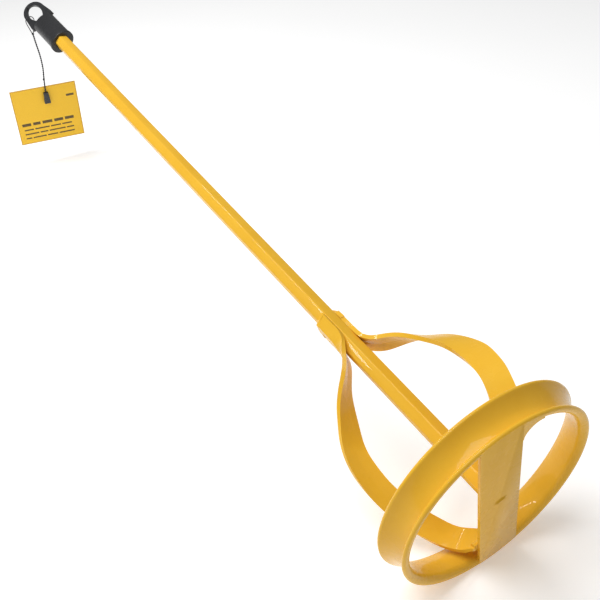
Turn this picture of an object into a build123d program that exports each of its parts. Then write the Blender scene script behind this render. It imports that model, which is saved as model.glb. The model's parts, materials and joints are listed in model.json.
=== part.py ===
from build123d import *
from scipy.interpolate import PchipInterpolator
import math
import os

# Mortar mixing paddle, in millimetres. The origin is the centre of the shank's end face.
# +X runs along the shaft to the mixing head, +Z is up, and the head is at +X.

# ---- driving dimensions -------------------------------------------------------------
LENGTH = 609.6            # shank's end to the head's front face, 24 in
HEX_AF = 11.3             # painted 7/16 in hexagonal bar, across the flats
HEX_TURN = 48.6           # a corner of the bar, measured round the shaft from +Y
SHANK_CHAMFER = 1.0

RING_WALL = 2.6           # rolled strip with its paint
RING_FRONT_R = 59.8       # centre of the front lip's rounded edge
RING_BACK_R = 62.7        # centre of the back lip's rounded edge
RING_WAIST_R = 57.0       # centre of the strip at the waist
RING_DEPTH = 18.0
LIP_BEND = 2.4            # how far behind the front lip the waist begins

BAR_TURN = -79.3          # where the crossbar's lower end points, round the shaft from +Y
BAR_WIDTH = 26.0
BAR_THICK = 2.0
BAR_REACH = 60.4          # the bar's ends lie in notches in the ring's front lip
CORNER_R = 9.0            # weld-filled corner between the bar and the ring

BLADE_WIDTH = 14.0
BLADE_THICK = 2.6
BLADE_TOP = 458.5         # where the formed top of each blade begins
SECTIONS_PER_SPAN = 3
NUDGE = 0.2               # step for reading the direction of a blade's middle line

WELD_R = 1.5              # half width of a blade's foot weld
SHAFT_WELD_LEG = 3.5      # fillet between the shaft's end and the crossbar's back
PLUG_WELD = (9.0, 3.2)    # length and width of the bead on the crossbar's front
PLUG_WELD_RISE = 0.9
PLUG_WELD_TURN = 16.0
TOP_WELD_LENGTH = 3.0     # ramp between the shaft and the end of each blade
TOP_WELD_THIN = 0.3
TOP_WELD_INSET = 1.0      # the ramp is this much narrower than the blade, each side

CAP_LENGTH = 42.5         # mouth of the hanging cap to the shank's end
CAP_HALF = (10.6, 7.9)    # half width and half thickness of its flattened sleeve
CAP_RIM = (0.6, 3.5)      # thicker band round the mouth: its height and length
CAP_EDGE_R = 0.5          # rounding of the band
CAP_WEDGE_LENGTH = 9.0    # the sleeve's end, thinning towards the loop
CAP_WEDGE_HALF = (11.2, 1.2)
CAP_CLEARANCE = 0.08
LOOP_TURN = 30.7          # plane of the hanging loop, round the shaft from +Y
LOOP_X = -23.0            # middle of the loop's oval eye
LOOP_HALF = (18.3, 10.8)  # outer half length and half width
LOOP_HOLE_HALF = (15.4, 6.5)
LOOP_THICK = 3.0
EAR_HALF = 12.3           # half width across the two ears where the loop meets the sleeve
EAR_X = (-7.0, -3.5)

HANG_X = -21.0            # where the string hangs on the loop's side
HANG_OUT = 8.35           # the same point, out from the shaft's axis
STRING_D = 1.6            # two thin threads twisted together
THREAD_D = 0.8
THREAD_BEND = 3.9         # thread's centre line round the loop's side
THREAD_END = (0.44, 0.15)  # end of each thread, beside and above the knot
STRING_GAP = 0.3          # string's end to the lock
KNOT_DROP = 13.0          # below the centre of the loop's side
LOCK_DROP = 75.5
LOCK_SIZE = (6.2, 3.0, 11.6)
LOCK_SIDE_ANGLE = 86.0    # the lock narrows towards the string
LOCK_CORNER_R = 0.7
CARD_DROP = 69.5
CARD_SIZE = (64.0, 0.6, 61.0)
CARD_TURN = -11.7         # the way the card faces, round the string from +X
CARD_SHIFT = -2.0         # card's middle, sideways from its hole
CARD_GAP = 1.2            # string's centre line to the card's face
LOCK_GAP = 0.05           # lock's back to the card's face
PEG_R = 1.2               # lock's peg, through the card
PEG_CLEARANCE = 0.2
PEG_HEAD = (2.4, 0.7)     # its head behind the card, radius and thickness

os.makedirs("parts", exist_ok=True)

SHAFT_AXIS = Axis((0, 0, 0), (1, 0, 0))
HEX_CORNER_R = HEX_AF / math.sqrt(3)
BAR_BACK = LENGTH - BAR_THICK


def round_shaft(turn):
    """Unit vector across the shaft, at a turn from +Y towards +Z."""
    return Vector(0, math.cos(math.radians(turn)), math.sin(math.radians(turn)))


def across(x, turn):
    """Plane across the shaft whose local x axis points at the given turn."""
    return Plane(origin=(x, 0, 0), x_dir=round_shaft(turn), z_dir=(1, 0, 0))


def write(solid, name):
    solid.label = name
    export_step(solid, f"parts/{name}.step")


# ---- shaft --------------------------------------------------------------------------
with BuildPart() as hex_shaft:
    with BuildSketch(across(0, HEX_TURN)):
        RegularPolygon(radius=HEX_CORNER_R, side_count=6)
    extrude(amount=BAR_BACK)
    shank_face = hex_shaft.faces().sort_by(Axis.X)[0]
    chamfer(shank_face.edges(), SHANK_CHAMFER)


# ---- crossbar -----------------------------------------------------------------------
with BuildPart() as crossbar:
    with BuildSketch(across(BAR_BACK, BAR_TURN)):
        Circle(BAR_REACH)
        Rectangle(2 * BAR_REACH, BAR_WIDTH, mode=Mode.INTERSECT)
    extrude(amount=BAR_THICK)


# ---- mixing ring: a strip rolled into a hoop, both lips turned outwards --------------
lip_x = LENGTH - RING_WALL / 2
back_x = LENGTH - RING_DEPTH + RING_WALL / 2
with BuildPart() as mixing_ring:
    with BuildSketch():
        with BuildLine():
            front_lip = Line((lip_x, RING_FRONT_R), (lip_x, RING_WAIST_R + LIP_BEND))
            bend = TangentArc(front_lip @ 1, (lip_x - LIP_BEND, RING_WAIST_R), tangent=front_lip % 1)
            TangentArc(bend @ 1, (back_x, RING_BACK_R), tangent=bend % 1)
        trace(line_width=RING_WALL)
        with Locations((lip_x, RING_FRONT_R), (back_x, RING_BACK_R)):
            Circle(RING_WALL / 2)
    revolve(axis=SHAFT_AXIS)
    add(crossbar.part, mode=Mode.SUBTRACT)


# ---- blades: flat bars formed over the shaft, bowed out and twisted into the ring ----
# Each station: along the shaft, out from its axis, round from the crossbar's end,
# twist of the bar's width out of the round direction, and fold over the shaft.
BLADE_STATIONS = [
    (BLADE_TOP, 7.95, -111.7, 0, 30),
    (BLADE_TOP + 14, 7.95, -111.7, 0, 30),
    (482, 7.6, -92, 4, 14),
    (508, 28, -62.5, 16, 1),
    (532, 42.5, -57.5, 42, 1),
    (561, 49.5, -42.5, 68, 1),
    (590, 52.5, -21.5, 18, 1),
    (606, 42, -12, 8, 1),
]


def station_point(station, end_turn):
    along, out, turn = station[:3]
    return Vector(along, 0, 0) + round_shaft(end_turn + turn) * out


def blade_sections(end_turn):
    """Plane and fold of every cross-section of one blade."""
    points = [station_point(station, end_turn) for station in BLADE_STATIONS]
    reach = [0.0]
    for start, end in zip(points, points[1:]):
        reach.append(reach[-1] + (end - start).length)
    shape = PchipInterpolator(reach, BLADE_STATIONS)
    places = [0.0]
    for start, end in zip(reach, reach[1:]):
        for step in range(1, SECTIONS_PER_SPAN + 1):
            places.append(start + (end - start) * step / SECTIONS_PER_SPAN)
    for place in places:
        centre = station_point(shape(place), end_turn)
        before = station_point(shape(max(place - NUDGE, 0)), end_turn)
        after = station_point(shape(min(place + NUDGE, reach[-1])), end_turn)
        forward = (after - before).normalized()
        outward = Vector(0, centre.Y, centre.Z)
        outward = (outward - forward * outward.dot(forward)).normalized()
        twist, fold = shape(place)[3:]
        width = outward.cross(forward).rotate(Axis((0, 0, 0), forward), float(twist))
        yield Plane(origin=centre, x_dir=width, z_dir=forward), float(fold)


def folded_bar(fold, half_width, half_thick):
    """Outline of the bar's section, its two halves folded towards the shaft."""
    rise = math.radians(fold)
    leg = (half_width * math.cos(rise), -half_width * math.sin(rise))
    skin = (half_thick * math.sin(rise), half_thick * math.cos(rise))
    apex = half_thick / math.cos(rise)
    right_outer = (leg[0] + skin[0], leg[1] + skin[1])
    right_inner = (leg[0] - skin[0], leg[1] - skin[1])
    return [
        (-right_outer[0], right_outer[1]),
        (0, apex),
        right_outer,
        right_inner,
        (0, -apex),
        (-right_inner[0], right_inner[1]),
    ]


def make_blade(end_turn):
    with BuildPart() as blade:
        for plane, fold in blade_sections(end_turn):
            with BuildSketch(plane):
                with BuildLine():
                    Polyline(*folded_bar(fold, BLADE_WIDTH / 2, BLADE_THICK / 2), close=True)
                make_face()
        loft()
        split(bisect_by=Plane(origin=(BAR_BACK, 0, 0), z_dir=(-1, 0, 0)))
        add(mixing_ring.part, mode=Mode.SUBTRACT)
    return blade


blade_a = make_blade(BAR_TURN)
blade_b = make_blade(BAR_TURN + 180)


# ---- welds --------------------------------------------------------------------------
with BuildPart() as shaft_foot_weld:
    with BuildSketch():
        with BuildLine():
            Polyline(
                (BAR_BACK, 0),
                (BAR_BACK, HEX_CORNER_R + SHAFT_WELD_LEG),
                (BAR_BACK - SHAFT_WELD_LEG, HEX_CORNER_R),
                (BAR_BACK - SHAFT_WELD_LEG, 0),
                close=True,
            )
        make_face()
    revolve(axis=SHAFT_AXIS)
    add(hex_shaft.part, mode=Mode.SUBTRACT)

with BuildPart() as plug_weld:
    with BuildSketch(across(LENGTH, PLUG_WELD_TURN)):
        Ellipse(PLUG_WELD[0] / 2, PLUG_WELD[1] / 2)
    with BuildSketch(across(LENGTH + PLUG_WELD_RISE, PLUG_WELD_TURN)):
        Ellipse(PLUG_WELD[0] / 4, PLUG_WELD[1] / 6)
    loft()

with BuildPart() as corner_weld:
    fill_y = BAR_WIDTH / 2 + CORNER_R
    fill_x = math.sqrt((RING_WAIST_R - CORNER_R) ** 2 - fill_y**2)
    fill_top = fill_y * RING_WAIST_R / (RING_WAIST_R - CORNER_R)
    with BuildSketch(across(BAR_BACK, BAR_TURN + 180)):
        with Locations((fill_x, -BAR_WIDTH / 2)):
            Rectangle(2 * CORNER_R, fill_top - BAR_WIDTH / 2, align=(Align.MIN, Align.MAX))
        Circle(RING_WAIST_R + LIP_BEND, mode=Mode.INTERSECT)
        with Locations((fill_x, -fill_y)):
            Circle(CORNER_R, mode=Mode.SUBTRACT)
    extrude(amount=BAR_THICK)
    add(mixing_ring.part, mode=Mode.SUBTRACT)


def make_top_weld(end_turn):
    """Ramp of weld from the shaft's corner up to the folded end of a blade."""
    fold = BLADE_STATIONS[0][4]
    seat = HEX_CORNER_R + BLADE_THICK / 2 / math.cos(math.radians(fold))
    thin_seat = HEX_CORNER_R + TOP_WELD_THIN / 2 / math.cos(math.radians(fold))
    turn = end_turn + BLADE_STATIONS[0][2]
    half_width = BLADE_WIDTH / 2 - TOP_WELD_INSET
    with BuildPart() as weld:
        for x, height, thick in (
            (BLADE_TOP, seat, BLADE_THICK),
            (BLADE_TOP - TOP_WELD_LENGTH, thin_seat, TOP_WELD_THIN),
        ):
            end_plane = across(x, turn - 90)
            with BuildSketch(end_plane):
                with BuildLine():
                    outline = folded_bar(fold, half_width, thick / 2)
                    Polyline(*[(a, b + height) for a, b in outline], close=True)
                make_face()
        loft(ruled=True)
        add(hex_shaft.part, mode=Mode.SUBTRACT)
    return weld


def make_foot_weld(end_turn):
    """Bead along the end of a blade, where it meets the crossbar and the ring."""
    plane = list(blade_sections(end_turn))[-1][0]
    start = plane.from_local_coords((-BLADE_WIDTH / 2, 0, 0))
    end = plane.from_local_coords((BLADE_WIDTH / 2, 0, 0))
    start = Vector(BAR_BACK, start.Y, start.Z)
    end = Vector(BAR_BACK, end.Y, end.Z)
    with BuildPart() as weld:
        with BuildSketch(Plane(origin=start, z_dir=end - start)):
            Circle(2 * WELD_R)
        extrude(amount=(end - start).length)
        split(bisect_by=Plane(origin=(BAR_BACK, 0, 0), z_dir=(-1, 0, 0)))
        for solid in (blade_a.part, blade_b.part, mixing_ring.part, shaft_foot_weld.part):
            add(solid, mode=Mode.SUBTRACT)
    return weld


top_welds = [make_top_weld(BAR_TURN), make_top_weld(BAR_TURN + 180)]
foot_welds = [make_foot_weld(BAR_TURN), make_foot_weld(BAR_TURN + 180)]


# ---- hanging cap: a flattened sleeve that thins into a flat oval loop ----------------
loop_plane = Plane(origin=(0, 0, 0), x_dir=(1, 0, 0), z_dir=round_shaft(LOOP_TURN + 90))
with BuildPart() as hang_cap:
    with BuildSketch(across(-CAP_WEDGE_LENGTH, LOOP_TURN)):
        Ellipse(*CAP_WEDGE_HALF)
    with BuildSketch(across(0, LOOP_TURN)):
        Ellipse(*CAP_HALF)
    loft()
    with BuildSketch(across(0, LOOP_TURN)):
        Ellipse(*CAP_HALF)
    extrude(amount=CAP_LENGTH)
    with BuildSketch(across(CAP_LENGTH - CAP_RIM[1], LOOP_TURN)):
        Ellipse(CAP_HALF[0] + CAP_RIM[0], CAP_HALF[1] + CAP_RIM[0])
    extrude(amount=CAP_RIM[1])
    mouth_edge = hang_cap.edges().group_by(Axis.X)[-1]
    fillet(mouth_edge, CAP_EDGE_R)
    with BuildSketch(loop_plane):
        with Locations((LOOP_X, 0)):
            Ellipse(*LOOP_HALF)
        with BuildLine():
            Polyline(
                (LOOP_X, LOOP_HALF[1]),
                (EAR_X[0], EAR_HALF),
                (EAR_X[1], EAR_HALF),
                (EAR_X[1], -EAR_HALF),
                (EAR_X[0], -EAR_HALF),
                (LOOP_X, -LOOP_HALF[1]),
                close=True,
            )
        make_face()
        with Locations((LOOP_X, 0)):
            Ellipse(*LOOP_HOLE_HALF, mode=Mode.SUBTRACT)
    extrude(amount=LOOP_THICK / 2, both=True)
    with BuildSketch(loop_plane):
        with Locations((LOOP_X, 0)):
            Ellipse(*LOOP_HOLE_HALF)
    extrude(amount=LOOP_THICK, both=True, mode=Mode.SUBTRACT)
    with BuildSketch(across(0, HEX_TURN)):
        RegularPolygon(radius=HEX_CORNER_R + CAP_CLEARANCE / math.cos(math.pi / 6), side_count=6)
    extrude(amount=CAP_LENGTH + 1, mode=Mode.SUBTRACT)


# ---- tag: string hung on the loop's side, lock and card ------------------------------
hang_point = Vector(HANG_X, 0, 0) + round_shaft(LOOP_TURN + 180) * HANG_OUT


def from_hang(y, z):
    return hang_point + Vector(0, y, z)


# The thread lies over the loop's side, and its two ends come together at the knot.
knot = from_hang(0, -KNOT_DROP)
thread_top = from_hang(0, THREAD_BEND)
STRING_ROUTE = [
    (0, -KNOT_DROP),
    (0.8, -23),
    (2.4, -36),
    (2.6, -50),
    (0.9, -62),
    (0, STRING_GAP - LOCK_DROP),
]
route = [from_hang(*point) for point in STRING_ROUTE]


def corner_radii(points):
    """Largest tangent arcs that the runs beside each corner allow."""
    radii = []
    for before, corner, after in zip(points, points[1:], points[2:]):
        turn = math.radians((corner - before).get_angle(after - corner))
        run = min((corner - before).length, (after - corner).length)
        radii.append(0.45 * run / math.tan(turn / 2))
    return radii


def make_string():
    radii = corner_radii(route)
    print("string radii", [round(radius, 1) for radius in radii])
    with BuildPart() as tube:
        with BuildLine() as path:
            FilletPolyline(*route, radius=radii)
        with BuildSketch(Plane(origin=path.line @ 0, z_dir=path.line % 0)):
            Circle(STRING_D / 2)
        sweep()
    length = path.wires()[0].length
    expected = math.pi * STRING_D**2 / 4 * length
    print("string length", round(length, 2), "volume ratio", round(tube.part.volume / expected, 4))
    return tube


def make_thread(side):
    """Thin thread over one half of the loop's side, from its top to the knot."""
    lean = math.asin(THREAD_BEND / KNOT_DROP)
    touch = from_hang(side * THREAD_BEND * math.cos(lean), -THREAD_BEND * math.sin(lean))
    middle_turn = (math.pi / 2 + lean) / 2
    middle = from_hang(side * THREAD_BEND * math.sin(middle_turn), THREAD_BEND * math.cos(middle_turn))
    with BuildPart() as thread:
        with BuildLine() as path:
            ThreePointArc(thread_top, middle, touch)
            Line(touch, knot + Vector(0, side * THREAD_END[0], THREAD_END[1]))
        with BuildSketch(Plane(origin=thread_top, z_dir=(0, side, 0))):
            Circle(THREAD_D / 2)
        sweep()
    return thread


tag_string = make_string()
front_thread = make_thread(-1)
back_thread = make_thread(1)

card_normal = Vector(math.cos(math.radians(CARD_TURN)), math.sin(math.radians(CARD_TURN)), 0)
card_face = Plane(
    origin=from_hang(0, -CARD_DROP) - card_normal * CARD_GAP,
    x_dir=card_normal.cross(Vector(0, 0, -1)),
    z_dir=card_normal,
)
peg_height = -(LOCK_DROP - CARD_DROP) - LOCK_SIZE[2] / 2
with BuildPart() as tag_card:
    with BuildSketch(card_face):
        with Locations((CARD_SHIFT, -CARD_SIZE[2] / 2)):
            Rectangle(CARD_SIZE[0], CARD_SIZE[2])
        with Locations((0, peg_height)):
            Circle(PEG_R + PEG_CLEARANCE, mode=Mode.SUBTRACT)
    extrude(amount=-CARD_SIZE[1])

with BuildPart() as tag_lock:
    with BuildSketch(card_face.offset(LOCK_GAP)):
        with Locations((0, peg_height)):
            Trapezoid(LOCK_SIZE[0], LOCK_SIZE[2], LOCK_SIDE_ANGLE)
        fillet(vertices(), LOCK_CORNER_R)
    extrude(amount=LOCK_SIZE[1])
    with BuildSketch(card_face.offset(LOCK_GAP)):
        with Locations((0, peg_height)):
            Circle(PEG_R)
    extrude(amount=-CARD_SIZE[1] - 2 * LOCK_GAP)
    with BuildSketch(card_face.offset(-CARD_SIZE[1] - LOCK_GAP)):
        with Locations((0, peg_height)):
            Circle(PEG_HEAD[0])
    extrude(amount=-PEG_HEAD[1])


# ---- files --------------------------------------------------------------------------
write(hex_shaft.part, "hex_shaft")
write(mixing_ring.part, "mixing_ring")
write(crossbar.part, "crossbar")
write(blade_a.part, "blade_a")
write(blade_b.part, "blade_b")
write(Compound(children=[weld.part for weld in top_welds]), "blade_top_welds")
write(Compound(children=[weld.part for weld in foot_welds]), "blade_foot_welds")
write(shaft_foot_weld.part, "shaft_foot_weld")
write(plug_weld.part, "plug_weld")
write(corner_weld.part, "corner_weld")
write(hang_cap.part, "hang_cap")
write(tag_string.part, "tag_string")
write(front_thread.part, "front_thread")
write(back_thread.part, "back_thread")
write(tag_card.part, "tag_card")
write(tag_lock.part, "tag_lock")
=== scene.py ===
import json
import math

import bpy
from mathutils import Matrix, Vector


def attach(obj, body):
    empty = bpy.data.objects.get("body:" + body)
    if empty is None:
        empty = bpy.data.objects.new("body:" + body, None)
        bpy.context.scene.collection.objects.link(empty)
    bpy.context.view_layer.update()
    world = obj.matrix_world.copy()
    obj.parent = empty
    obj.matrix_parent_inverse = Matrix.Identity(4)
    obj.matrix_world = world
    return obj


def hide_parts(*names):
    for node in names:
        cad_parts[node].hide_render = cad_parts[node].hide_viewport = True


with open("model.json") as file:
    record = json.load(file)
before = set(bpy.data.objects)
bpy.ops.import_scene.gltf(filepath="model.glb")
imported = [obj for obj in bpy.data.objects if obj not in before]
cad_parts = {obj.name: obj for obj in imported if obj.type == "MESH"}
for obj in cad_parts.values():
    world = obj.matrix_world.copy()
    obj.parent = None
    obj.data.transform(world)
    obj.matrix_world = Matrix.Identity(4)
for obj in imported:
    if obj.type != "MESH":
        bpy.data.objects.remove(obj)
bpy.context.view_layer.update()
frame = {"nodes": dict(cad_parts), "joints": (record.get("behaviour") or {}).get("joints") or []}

nodes = frame["nodes"]
MM = 0.001


# ---- places on the object, in metres --------------------------------------------------
swing = next(j for j in frame["joints"] if j["name"] == "tag_swing")
HANG_POINT = Vector(swing["pos_m"])
THREAD_D = 0.8 * MM
CARD_TURN = math.radians(-11.7)
CARD_FACE_Z = -69.5 * MM
CARD_GAP = 1.2 * MM
CARD_LEFT = -34 * MM
CARD_RIGHT = 30 * MM
CARD_FOOT = -61 * MM
FRAME_WIDTH = 0.9 * MM


def from_hang(y, z):
    """A point below the loop's side, from millimetres across and down."""
    return HANG_POINT + Vector((0, y * MM, z * MM))


# ---- material helpers -----------------------------------------------------------------
class Nodes:
    """A material's node tree, with short calls for the nodes used here."""

    def __init__(self, name):
        self.material = bpy.data.materials.new(name)
        self.material.use_nodes = True
        self.tree = self.material.node_tree
        self.shader = self.tree.nodes["Principled BSDF"]
        self.place = self.add("ShaderNodeTexCoord").outputs["Object"]

    def add(self, kind, **settings):
        node = self.tree.nodes.new(kind)
        for key, value in settings.items():
            setattr(node, key, value)
        return node

    def link(self, source, target):
        self.tree.links.new(source, target)

    def stretched(self, scale):
        node = self.add("ShaderNodeMapping")
        node.inputs["Scale"].default_value = scale
        self.link(self.place, node.inputs["Vector"])
        return node.outputs["Vector"]

    def noise(self, scale, detail=3.0, roughness=0.5, vector=None):
        node = self.add("ShaderNodeTexNoise")
        node.inputs["Scale"].default_value = scale
        node.inputs["Detail"].default_value = detail
        node.inputs["Roughness"].default_value = roughness
        self.link(vector or self.place, node.inputs["Vector"])
        return node.outputs["Fac"]

    def ramp(self, value, stops):
        node = self.add("ShaderNodeValToRGB")
        elements = node.color_ramp.elements
        while len(elements) < len(stops):
            elements.new(0.5)
        for element, (position, colour) in zip(elements, stops):
            element.position = position
            element.color = (*colour, 1)
        self.link(value, node.inputs["Fac"])
        return node.outputs["Color"]

    def ranged(self, value, low, high, to_low, to_high):
        node = self.add("ShaderNodeMapRange")
        limits = {"From Min": low, "From Max": high, "To Min": to_low, "To Max": to_high}
        for name, number in limits.items():
            node.inputs[name].default_value = number
        self.link(value, node.inputs["Value"])
        return node.outputs["Result"]

    def bump(self, height, strength, distance, under=None):
        node = self.add("ShaderNodeBump")
        node.inputs["Strength"].default_value = strength
        node.inputs["Distance"].default_value = distance
        self.link(height, node.inputs["Height"])
        if under is not None:
            self.link(under, node.inputs["Normal"])
        return node.outputs["Normal"]

    def math(self, operation, first, second):
        node = self.add("ShaderNodeMath", operation=operation)
        for socket, value in zip(node.inputs, (first, second)):
            if isinstance(value, (int, float)):
                socket.default_value = value
            else:
                self.link(value, socket)
        return node.outputs["Value"]

    def mix(self, share, first, second):
        node = self.add("ShaderNodeMix", data_type="RGBA")
        self.link(share, node.inputs["Factor"])
        for socket, value in ((node.inputs[6], first), (node.inputs[7], second)):
            if isinstance(value, tuple):
                socket.default_value = (*value, 1)
            else:
                self.link(value, socket)
        return node.outputs[2]

    def set(self, **values):
        """Constants on the shader's own sockets, with _ for each space in a name."""
        for name, value in values.items():
            self.shader.inputs[name.replace("_", " ")].default_value = value

    def feed(self, **sources):
        """Links from node outputs to the shader's sockets, named in the same way."""
        for name, source in sources.items():
            self.link(source, self.shader.inputs[name.replace("_", " ")])


# ---- materials ------------------------------------------------------------------------
def enamel(name, wave_strength, wave_scale):
    """Thick glossy yellow enamel: slow colour drift, orange peel, and dust nibs."""
    n = Nodes(name)
    drift = n.noise(38, detail=4, roughness=0.55)
    colour = n.ramp(drift, [
        (0.28, (0.81, 0.448, 0.032)),
        (0.50, (0.83, 0.468, 0.036)),
        (0.74, (0.85, 0.490, 0.042)),
    ])
    specks = n.ramp(n.noise(2600, detail=1), [(0.70, (0, 0, 0)), (0.78, (1, 1, 1))])
    speckled = n.mix(n.math("MULTIPLY", specks, 0.15), colour, (0.62, 0.30, 0.03))
    shine = n.ranged(n.noise(120, detail=5), 0.3, 0.7, 0.20, 0.32)
    slow = n.bump(n.noise(wave_scale, detail=2), wave_strength, 0.0010)
    peel = n.bump(n.noise(620, detail=2, roughness=0.4), 0.06, 0.00030, slow)
    n.feed(Base_Color=speckled, Roughness=shine, Normal=peel)
    n.set(Coat_Weight=0.28, Coat_Roughness=0.03, Specular_IOR_Level=0.06)
    return n.material


def soft_black_plastic():
    """Satin dip-moulded plastic with fine grain and a few pale scuffs."""
    n = Nodes("black_plastic")
    scuff = n.ramp(n.noise(210, detail=8, roughness=0.7), [(0.56, (0, 0, 0)), (0.72, (1, 1, 1))])
    worn = n.math("MULTIPLY", scuff, 0.6)
    colour = n.mix(worn, (0.012, 0.0125, 0.0145), (0.030, 0.032, 0.038))
    satin = n.ranged(n.noise(420, detail=4), 0.3, 0.7, 0.30, 0.46)
    grain = n.bump(n.noise(3200, detail=2), 0.22, 0.00012)
    dips = n.bump(n.noise(260, detail=2), 0.25, 0.0005, grain)
    n.feed(Base_Color=colour, Roughness=satin, Normal=dips)
    n.set(Specular_IOR_Level=0.55)
    return n.material


def black_thread():
    """Spun black thread, with fibres along its length and a dusty sheen."""
    n = Nodes("black_thread")
    fibres = n.noise(5200, detail=3, vector=n.stretched((1, 1, 0.22)))
    colour = n.ramp(fibres, [(0.35, (0.006, 0.006, 0.007)), (0.7, (0.045, 0.045, 0.050))])
    n.feed(Base_Color=colour, Normal=n.bump(fibres, 0.7, 0.00015))
    n.set(Roughness=0.82, Sheen_Weight=0.35, Sheen_Roughness=0.5)
    return n.material


def gloss_black_plastic():
    """Small moulded lock: cool glossy black with moulding grain."""
    n = Nodes("lock_plastic")
    tint = n.noise(300, detail=4)
    colour = n.ramp(tint, [(0.35, (0.014, 0.015, 0.018)), (0.7, (0.036, 0.040, 0.050))])
    shine = n.ranged(n.noise(900, detail=2), 0.3, 0.7, 0.22, 0.36)
    n.feed(Base_Color=colour, Roughness=shine, Normal=n.bump(n.noise(2400, detail=2), 0.15, 0.0001))
    return n.material


# Printed bars on the card, (left, right, middle height, bar height) in millimetres
PRINT_BARS = [
    (19.0, 26.6, -13.6, 2.4),
    (-29.4, -20.6, -39.0, 3.2),
    (-18.6, -11.2, -39.0, 3.2),
    (-9.2, 0.6, -39.0, 3.2),
    (2.6, 11.6, -39.0, 3.2),
    (13.4, 22.4, -39.0, 3.2),
    (-28.2, -19.0, -44.9, 1.5),
    (-17.6, -3.2, -44.9, 1.5),
    (-1.8, 8.4, -44.9, 1.5),
    (9.8, 19.6, -44.9, 1.5),
    (-28.2, -14.6, -49.7, 1.5),
    (-13.2, -5.4, -49.7, 1.5),
    (-4.0, 12.2, -49.7, 1.5),
    (13.6, 21.0, -49.7, 1.5),
    (-28.2, -22.6, -54.5, 1.5),
    (-21.2, -8.0, -54.5, 1.5),
    (-6.6, 3.8, -54.5, 1.5),
    (5.2, 21.0, -54.5, 1.5),
]


def printed_card():
    """Coated yellow card: paper tooth, a dark printed frame and greeked print on its front."""
    n = Nodes("printed_card")
    face = Vector((math.cos(CARD_TURN), math.sin(CARD_TURN), 0))
    side = Vector((-face.y, face.x, 0))
    corner = from_hang(0, 0) + Vector((0, 0, CARD_FACE_Z)) - face * CARD_GAP

    def along(direction):
        node = n.add("ShaderNodeVectorMath", operation="DOT_PRODUCT")
        n.link(n.place, node.inputs[0])
        node.inputs[1].default_value = direction
        return n.math("SUBTRACT", node.outputs["Value"], corner.dot(direction))

    u, v, w = along(side), along(Vector((0, 0, 1))), along(face)

    def inside(value, middle, half):
        return n.math("LESS_THAN", n.math("ABSOLUTE", n.math("SUBTRACT", value, middle), 0), half)

    def block(left, right, middle, height):
        """Mask of one printed bar, from millimetres on the card."""
        wide = inside(u, (left + right) / 2 * MM, (right - left) / 2 * MM)
        return n.math("MULTIPLY", wide, inside(v, middle * MM, height / 2 * MM))

    bars = [block(*bar) for bar in PRINT_BARS]
    print_mask = bars[0]
    for bar in bars[1:]:
        print_mask = n.math("MAXIMUM", print_mask, bar)
    front = n.math("GREATER_THAN", w, -0.15 * MM)
    inner_u = inside(u, (CARD_LEFT + CARD_RIGHT) / 2, (CARD_RIGHT - CARD_LEFT) / 2 - FRAME_WIDTH)
    inner_v = inside(v, CARD_FOOT / 2, -CARD_FOOT / 2 - FRAME_WIDTH)
    rim = n.math("SUBTRACT", 1, n.math("MULTIPLY", inner_u, inner_v))

    paper = n.noise(900, detail=6, roughness=0.6)
    base = n.ramp(paper, [(0.35, (0.96, 0.560, 0.012)), (0.65, (1.0, 0.600, 0.018))])
    framed = n.mix(n.math("MULTIPLY", rim, 0.85), base, (0.62, 0.33, 0.012))
    ink_wear = n.ranged(n.noise(4200, detail=2), 0.3, 0.62, 0.80, 1.0)
    ink = n.math("MULTIPLY", n.math("MULTIPLY", print_mask, front), ink_wear)
    n.feed(
        Base_Color=n.mix(ink, framed, (0.035, 0.026, 0.010)),
        Roughness=n.ranged(paper, 0.3, 0.7, 0.42, 0.54),
        Normal=n.bump(paper, 0.10, 0.00008),
    )
    return n.material


paint = enamel("yellow_paint", 0.04, 70)
weld_paint = enamel("yellow_paint_on_weld", 0.30, 260)
cap_plastic = soft_black_plastic()
thread_material = black_thread()
lock_material = gloss_black_plastic()
card_material = printed_card()


def finish_with(obj, material):
    """Gives an object one material only."""
    obj.data.materials.clear()
    obj.data.materials.append(material)


# ---- CAD pieces: materials, and rounded edges where paint or moulding rounds them -----
def round_edges(obj, radius, angle=40):
    """Joins the mesh's split vertices and rounds its sharp edges."""
    weld = obj.modifiers.new("join", "WELD")
    weld.merge_threshold = 2e-6
    bevel = obj.modifiers.new("edge", "BEVEL")
    bevel.width = radius
    bevel.segments = 3
    bevel.limit_method = "ANGLE"
    bevel.angle_limit = math.radians(angle)
    bevel.use_clamp_overlap = True
    bevel.harden_normals = True
    for polygon in obj.data.polygons:
        polygon.use_smooth = True


for name in ("hex_shaft", "crossbar", "blade_a", "blade_b", "mixing_ring"):
    finish_with(nodes[name], paint)
round_edges(nodes["hex_shaft"], 0.7 * MM)
round_edges(nodes["crossbar"], 0.5 * MM)
for name in ("shaft_foot_weld", "blade_foot_welds", "blade_top_welds", "plug_weld", "corner_weld"):
    finish_with(nodes[name], weld_paint)

finish_with(nodes["hang_cap"], cap_plastic)
round_edges(nodes["hang_cap"], 0.35 * MM, angle=50)
finish_with(nodes["tag_card"], card_material)
finish_with(nodes["tag_lock"], lock_material)
round_edges(nodes["tag_lock"], 0.45 * MM)


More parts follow.
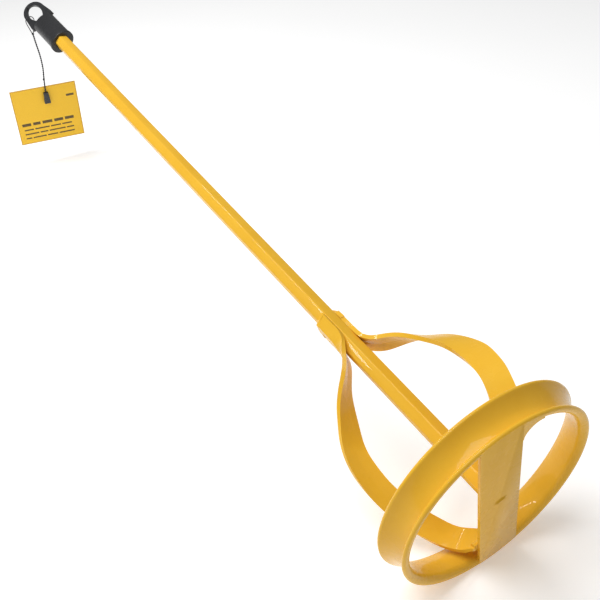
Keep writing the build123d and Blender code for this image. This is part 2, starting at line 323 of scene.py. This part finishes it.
# ---- tag string: two threads over the loop's side, twisted together below -------------
def nurbs_line(name, points):
    """A curve object whose one spline is smooth between the given control points."""
    curve = bpy.data.curves.new(name, "CURVE")
    curve.dimensions = "3D"
    curve.resolution_u = 16
    spline = curve.splines.new("NURBS")
    spline.points.add(len(points) - 1)
    for control, point in zip(spline.points, points):
        control.co = (*point, 1)
    spline.order_u = 3
    spline.use_endpoint_u = True
    obj = bpy.data.objects.new(name, curve)
    bpy.context.scene.collection.objects.link(obj)
    return obj


def points_along(obj):
    """The points of a curve object's line, once it is turned into a mesh."""
    mesh = bpy.data.meshes.new_from_object(obj)
    line = [vertex.co.copy() for vertex in mesh.vertices]
    bpy.data.meshes.remove(mesh)
    return line


def mesh_object(name, vertices, faces):
    """A smooth-shaded mesh object in the scene."""
    mesh = bpy.data.meshes.new(name)
    mesh.from_pydata(vertices, [], faces)
    for polygon in mesh.polygons:
        polygon.use_smooth = True
    obj = bpy.data.objects.new(name, mesh)
    bpy.context.scene.collection.objects.link(obj)
    return obj


def evenly(line, step):
    """The line's points again, a step apart."""
    out, left = [line[0].copy()], step
    for start, end in zip(line, line[1:]):
        gap, done = (end - start).length, 0.0
        while gap - done >= left:
            done += left
            out.append(start.lerp(end, done / gap))
            left = step
        left -= gap - done
    return out


def twisted(name, line, strand_radius, offset, pitch, sides=10):
    """Two round strands twisted about a line."""
    vertices, faces = [], []
    across_line = Vector((1, 0, 0))
    travelled = 0.0
    rings = []
    for i, point in enumerate(line):
        ahead = (line[min(i + 1, len(line) - 1)] - line[max(i - 1, 0)]).normalized()
        across_line = (across_line - ahead * across_line.dot(ahead)).normalized()
        other = ahead.cross(across_line)
        if i:
            travelled += (point - line[i - 1]).length
        rings.append((point, across_line.copy(), other, 2 * math.pi * travelled / pitch))
    for strand in range(2):
        base = len(vertices)
        for point, first, second, turn in rings:
            angle = turn + strand * math.pi
            centre = point + (first * math.cos(angle) + second * math.sin(angle)) * offset
            for k in range(sides):
                a = 2 * math.pi * k / sides
                out = first * math.cos(a) + second * math.sin(a)
                vertices.append(centre + out * strand_radius)
        for i in range(len(rings) - 1):
            for k in range(sides):
                a, b = base + i * sides + k, base + i * sides + (k + 1) % sides
                faces.append((a, b, b + sides, a + sides))
        faces.append(tuple(base + k for k in range(sides))[::-1])
        last = base + (len(rings) - 1) * sides
        faces.append(tuple(last + k for k in range(sides)))
    return mesh_object(name, vertices, faces)


# The string's control points, (across, up) in millimetres from the loop's side
STRING_ROUTE = [(0, -13), (0.8, -23), (2.4, -36), (2.6, -50), (0.9, -62), (0, -75.2)]
STRAND_RADIUS = 0.43 * MM
STRAND_OFFSET = 0.37 * MM
TWIST_PITCH = 4.2 * MM
STRAND_STEP = 0.18 * MM
guide = nurbs_line("string_guide", [from_hang(*point) for point in STRING_ROUTE])
string_line = points_along(guide)
bpy.data.objects.remove(guide)
string = twisted(
    "twisted_string", evenly(string_line, STRAND_STEP), STRAND_RADIUS, STRAND_OFFSET, TWIST_PITCH
)
finish_with(string, thread_material)
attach(string, "string")
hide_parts("tag_string")


# One thread's control points over the loop, (outwards, up) in millimetres
LOOP_ROUTE = [(0, 3.9), (1.976, 3.9), (4.31, 0.72), (3.2, -4.2), (0.44, -12.85)]


def thread_over_loop(name, side, node):
    """One thread from the top of the loop's side, round it and down to the knot."""
    thread = nurbs_line(name, [from_hang(side * across, up) for across, up in LOOP_ROUTE])
    thread.data.bevel_depth = THREAD_D / 2
    thread.data.bevel_resolution = 4
    thread.data.use_fill_caps = True
    finish_with(thread, thread_material)
    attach(thread, "string")
    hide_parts(node)
    return thread


def small_knot(name, centre, size):
    """Overhand knot of the same thread, pulled small."""
    vertices, faces = [], []
    steps, sides = 72, 8
    middle = []
    for i in range(steps):
        t = 2 * math.pi * i / steps
        middle.append(centre + Vector((
            math.cos(t) - 2 * math.cos(2 * t),
            math.sin(t) + 2 * math.sin(2 * t),
            -1.5 * math.sin(3 * t),
        )) * size)
    for i, point in enumerate(middle):
        ahead = (middle[(i + 1) % steps] - middle[i - 1]).normalized()
        first = ahead.cross((point - centre).normalized()).normalized()
        second = ahead.cross(first)
        for k in range(sides):
            a = 2 * math.pi * k / sides
            vertices.append(point + (first * math.cos(a) + second * math.sin(a)) * THREAD_D / 2)
    for i in range(steps):
        for k in range(sides):
            a, b = i * sides, (i + 1) % steps * sides
            faces.append((a + k, b + k, b + (k + 1) % sides, a + (k + 1) % sides))
    knot = mesh_object(name, vertices, faces)
    finish_with(knot, thread_material)
    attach(knot, "string")
    return knot


threads = [
    thread_over_loop("front_loop_thread", -1, "front_thread"),
    thread_over_loop("back_loop_thread", 1, "back_thread"),
]
knots = [
    small_knot("upper_knot", from_hang(0, -13.2), 0.30 * MM),
    small_knot("lower_knot", from_hang(0.9, -61.5), 0.26 * MM),
]


# ---- floor, light and camera ----------------------------------------------------------
FLOOR_TILT = math.radians(8.5)
FLOOR_SIZE = 8
floor_normal = Vector((-math.sin(FLOOR_TILT), 0, math.cos(FLOOR_TILT)))
floor_level = min(
    floor_normal.dot(Vector(vertex.co)) for vertex in nodes["mixing_ring"].data.vertices
)

bpy.ops.mesh.primitive_plane_add(size=FLOOR_SIZE)
floor = bpy.context.object
floor.name = "floor"
floor.rotation_mode = "QUATERNION"
floor.rotation_quaternion = floor_normal.to_track_quat("Z", "Y")
floor.location = floor_normal * floor_level
pale = Nodes("pale_floor")
pale.link(
    pale.ramp(pale.noise(3, detail=2), [(0.3, (0.90, 0.90, 0.90)), (0.7, (0.93, 0.93, 0.93))]),
    pale.shader.inputs["Base Color"],
)
pale.set(Roughness=0.9, Emission_Color=(1, 1, 1, 1), Emission_Strength=0.30)
finish_with(floor, pale.material)

world = bpy.data.worlds.new("studio")
world.use_nodes = True
background = world.node_tree.nodes["Background"]
background.inputs["Color"].default_value = (1, 1, 1, 1)
background.inputs["Strength"].default_value = 0.24
bpy.context.scene.world = world
bpy.context.scene.view_settings.view_transform = "Standard"


def soft_box(name, location, aim, size, power):
    """A rectangular area light that looks at a point."""
    light = bpy.data.lights.new(name, "AREA")
    light.shape = "RECTANGLE"
    light.size, light.size_y = size
    light.energy = power
    lamp = bpy.data.objects.new(name, light)
    lamp.location = location
    lamp.rotation_mode = "QUATERNION"
    lamp.rotation_quaternion = (Vector(location) - Vector(aim)).to_track_quat("Z", "Y")
    bpy.context.scene.collection.objects.link(lamp)


soft_box("key", (0.10, -0.34, 1.28), (0.42, 0, -0.02), (1.0, 1.0), 13.5)
soft_box("strip", (-0.25, -0.80, 0.66), (0.59, -0.04, 0.05), (0.75, 0.05), 2.6)
soft_box("back_strip", (-0.30, -0.15, 0.62), (0.60, -0.05, 0.0), (0.60, 0.04), 1.6)

VIEW = Vector((-0.60082, 0.39920, -0.69257))
RIGHT = Vector((0.54873, 0.83598, 0.00583))
CAMERA_PLACE = Vector((0.76246, -0.22322, 0.37924))
LENS = 52.99
view_dir = VIEW.normalized()
right = (RIGHT - view_dir * RIGHT.dot(view_dir)).normalized()
up = right.cross(view_dir)
camera_data = bpy.data.cameras.new("camera")
camera_data.lens = LENS
camera_data.sensor_width = 36
camera = bpy.data.objects.new("camera", camera_data)
camera.matrix_world = Matrix((
    (right.x, up.x, -view_dir.x, CAMERA_PLACE.x),
    (right.y, up.y, -view_dir.y, CAMERA_PLACE.y),
    (right.z, up.z, -view_dir.z, CAMERA_PLACE.z),
    (0, 0, 0, 1),
))
camera_data.clip_start = 0.01
bpy.context.scene.collection.objects.link(camera)
bpy.context.scene.camera = camera
